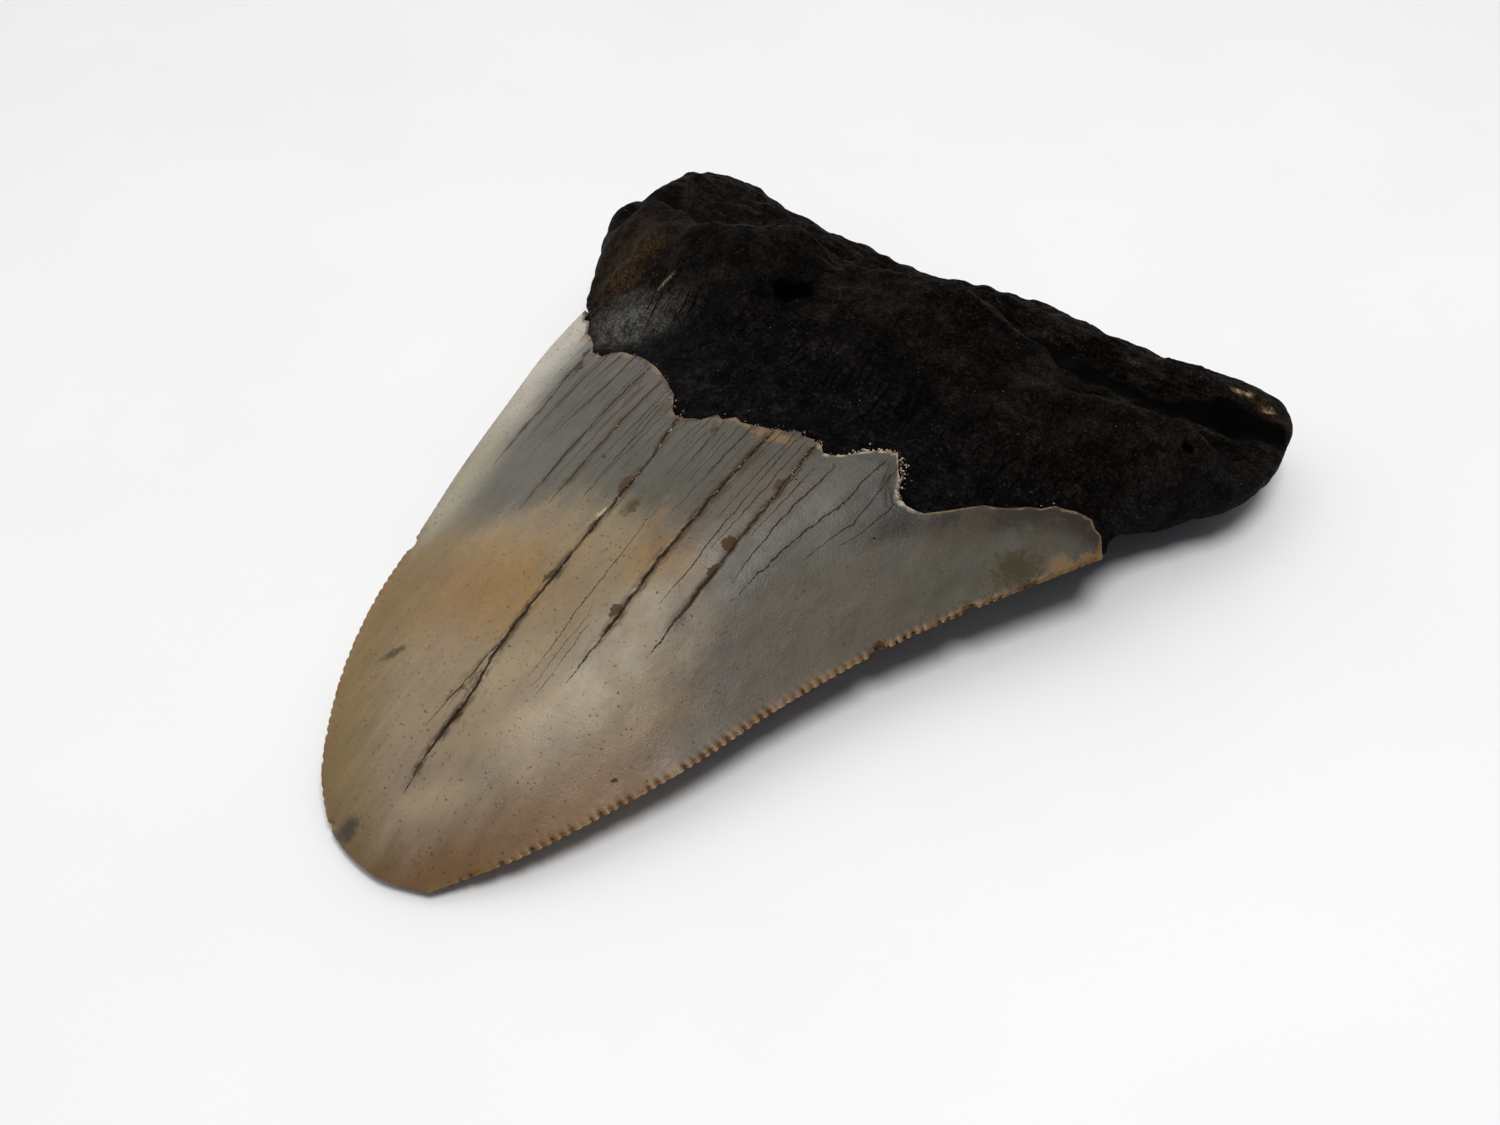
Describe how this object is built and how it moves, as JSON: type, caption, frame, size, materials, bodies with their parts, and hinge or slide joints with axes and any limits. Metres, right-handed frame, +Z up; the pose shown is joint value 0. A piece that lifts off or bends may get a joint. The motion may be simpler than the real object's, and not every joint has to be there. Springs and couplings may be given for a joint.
{
  "type": "megalodon tooth",
  "caption": "Fossil shark tooth: a broad serrated triangular crown of worn, cracked enamel on a dark lobed root, lying on its flat lip side.",
  "frame": {"origin": "middle of the footprint, on the surface that the tooth lies on", "axes": "+X across the crown, +Y from the tip to the root, +Z up out of the bulging tongue side"},
  "size_m": [0.0798, 0.0958, 0.0206],
  "materials": {
    "enamel": "worn, satin, taupe to grey-green enamel with fine cracks along the crown",
    "root": "matt, near-black fossil root, fine-grained and rough"
  },
  "bodies": {
    "root": {"tooth": "enamel"}
  },
  "joints": []
}
